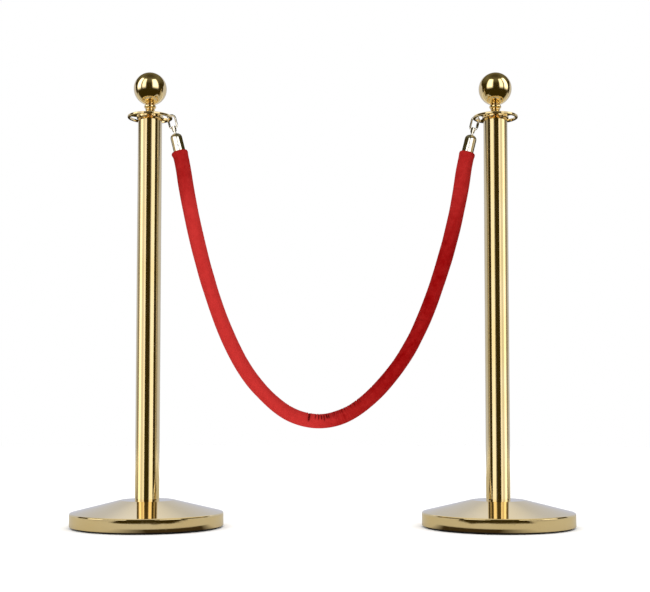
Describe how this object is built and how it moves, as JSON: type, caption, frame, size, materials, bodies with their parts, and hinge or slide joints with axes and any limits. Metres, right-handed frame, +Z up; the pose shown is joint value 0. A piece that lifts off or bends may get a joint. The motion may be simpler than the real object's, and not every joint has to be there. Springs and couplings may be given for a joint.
{
  "type": "rope barrier set",
  "caption": "Polished gold ball-top posts on round weighted bases, joined by a red velvet rope that hangs by snap hooks from slotted ring plates.",
  "frame": {"origin": "on the floor, midway between the two posts", "axes": "+X from the left post to the right post, +Y to the back, +Z up"},
  "size_m": [1.057, 0.32, 0.965],
  "materials": {
    "polished_gold": "polished",
    "pale_gold": "polished",
    "red_velvet": "matte",
    "cotton_core": "matte",
    "black_rubber": "matte",
    "concrete": "matte",
    "zinc_steel": "satin",
    "plain_steel": "satin",
    "nylon": "matte"
  },
  "bodies": {
    "posts": {"left_base_cover": "polished_gold", "left_base_ballast": "concrete", "left_base_rubber_ring": "black_rubber", "left_base_washer": "zinc_steel", "left_base_bolt": "zinc_steel", "left_post_tube": "polished_gold", "left_tube_foot_plug": "plain_steel", "left_tube_top_plug": "plain_steel", "left_ring_washer": "nylon", "left_finial_neck": "polished_gold", "left_finial_ball": "polished_gold", "left_finial_stud": "zinc_steel", "right_base_cover": "polished_gold", "right_base_ballast": "concrete", "right_base_rubber_ring": "black_rubber", "right_base_washer": "zinc_steel", "right_base_bolt": "zinc_steel", "right_post_tube": "polished_gold", "right_tube_foot_plug": "plain_steel", "right_tube_top_plug": "plain_steel", "right_ring_washer": "nylon", "right_finial_neck": "polished_gold", "right_finial_ball": "polished_gold", "right_finial_stud": "zinc_steel"},
    "left_ring": {"left_ring_plate": "polished_gold"},
    "right_ring": {"right_ring_plate": "polished_gold"},
    "rope": {"velvet_sleeve": "red_velvet", "rope_core": "cotton_core", "left_swivel_stud": "pale_gold", "left_ferrule": "pale_gold", "left_ferrule_screw": "zinc_steel", "right_swivel_stud": "pale_gold", "right_ferrule": "pale_gold", "right_ferrule_screw": "zinc_steel"},
    "left_snap_hook": {"left_hook": "pale_gold", "left_gate_pin": "zinc_steel", "left_gate_spring": "zinc_steel"},
    "left_gate": {"left_hook_gate": "pale_gold"},
    "right_snap_hook": {"right_hook": "pale_gold", "right_gate_pin": "zinc_steel", "right_gate_spring": "zinc_steel"},
    "right_gate": {"right_hook_gate": "pale_gold"}
  },
  "joints": [
    {"name": "rope_swing", "type": "hinge", "parent": "posts", "child": "rope", "pos_m": [-0.32443, 0.00777, 0.871], "axis": [0.9998, 0.0213, 0], "range_deg": [-25, 25]},
    {"name": "left_ring_turn", "type": "hinge", "parent": "posts", "child": "left_ring", "pos_m": [-0.3685, 0, 0.8685], "axis": [0, 0, 1], "range_deg": [-1, 43]},
    {"name": "right_ring_turn", "type": "hinge", "parent": "posts", "child": "right_ring", "pos_m": [0.3685, 0, 0.8685], "axis": [0, 0, 1], "range_deg": [-43, 1]},
    {"name": "left_hook_swivel", "type": "hinge", "parent": "rope", "child": "left_snap_hook", "pos_m": [-0.31814, 0.00791, 0.84577], "axis": [-0.2419, -0.0052, 0.9703], "range_deg": [-10, 10]},
    {"name": "right_hook_swivel", "type": "hinge", "parent": "rope", "child": "right_snap_hook", "pos_m": [0.32307, 0.02156, 0.84577], "axis": [0.2419, 0.0052, 0.9703], "range_deg": [-10, 10]},
    {"name": "left_gate_open", "type": "hinge", "parent": "left_snap_hook", "child": "left_gate", "pos_m": [-0.32753, 0.00653, 0.85208], "axis": [-0.1694, 0.9848, -0.037], "range_deg": [0, 35], "stiffness_Nm_per_rad": 0.01, "springref_deg": -17.19},
    {"name": "right_gate_open", "type": "hinge", "parent": "right_snap_hook", "child": "right_gate", "pos_m": [0.33178, 0.01813, 0.85228], "axis": [-0.4366, -0.8924, 0.1136], "range_deg": [0, 35], "stiffness_Nm_per_rad": 0.01, "springref_deg": -17.19}
  ]
}
